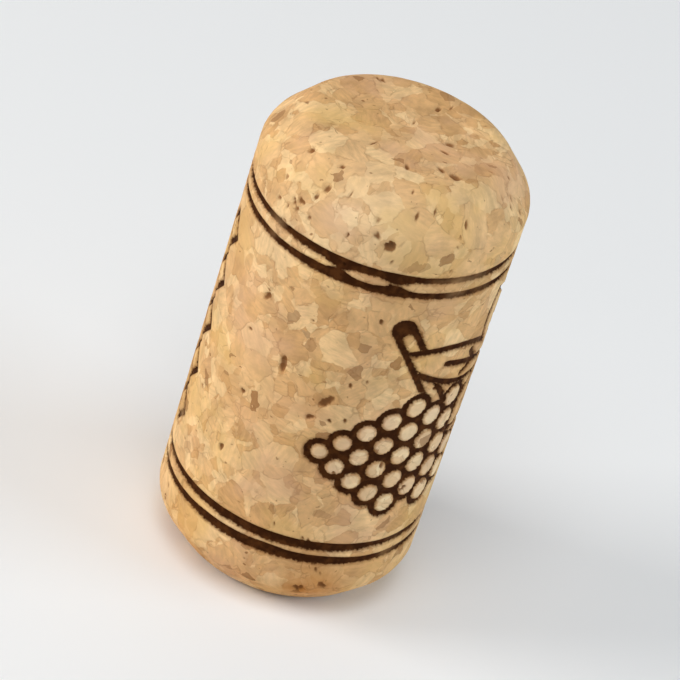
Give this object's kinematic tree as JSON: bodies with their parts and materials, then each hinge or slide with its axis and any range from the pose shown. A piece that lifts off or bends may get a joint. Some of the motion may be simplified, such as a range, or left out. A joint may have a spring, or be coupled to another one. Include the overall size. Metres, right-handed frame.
{
  "type": "wine cork",
  "caption": "Cylindrical cork stopper for a wine bottle, one agglomerated piece, chamfered at both ends, with paired lines, a grape bunch and leaf, and plain lozenges burnt into its side.",
  "frame": {"origin": "centre of the lower end face, on which the cork stands", "axes": "+Z along the cork's axis from the lower end to the upper end; -Y is the front, where the tip of the grape bunch lies"},
  "size_m": [0.024, 0.024, 0.045],
  "materials": {
    "agglomerated_cork": "matte bonded cork granules, ground smooth, with dark brown burnt marks"
  },
  "bodies": {
    "root": {"cork": "agglomerated_cork"}
  },
  "joints": []
}
